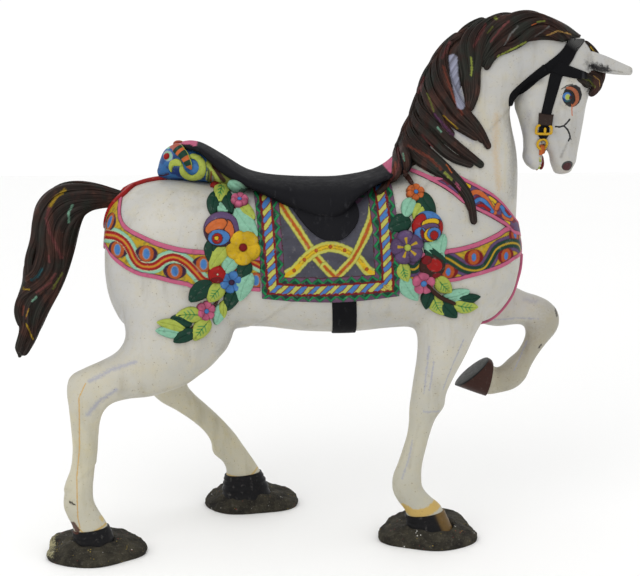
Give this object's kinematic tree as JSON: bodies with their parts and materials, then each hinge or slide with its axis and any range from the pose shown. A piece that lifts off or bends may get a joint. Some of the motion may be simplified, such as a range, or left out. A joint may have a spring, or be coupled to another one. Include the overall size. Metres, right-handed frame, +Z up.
{
  "type": "carousel horse",
  "caption": "Carved and painted carousel horse in a walking pose with one fore leg raised, standing on rough pads under its hooves.",
  "frame": {"origin": "centre of the footprint's box at floor level, under the pads", "axes": "+X from the tail towards the head, +Y towards the horse's left side, +Z up"},
  "size_m": [1.6818, 0.6457, 1.4494],
  "materials": {
    "painted_wood": "worn off-white paint, satin",
    "hair_paint": "dark brown-black paint with coloured streaks, satin",
    "saddle_paint": "charcoal-black paint, satin",
    "trim_paint": "many-coloured hand-painted trim, satin",
    "hoof_paint": "worn black paint, satin",
    "pad": "rough, dark, dull paint over a cast pad"
  },
  "bodies": {
    "root": {"horse": "painted_wood", "pad_hind_right": "pad", "pad_hind_left": "pad", "pad_fore_right": "pad"}
  },
  "joints": []
}
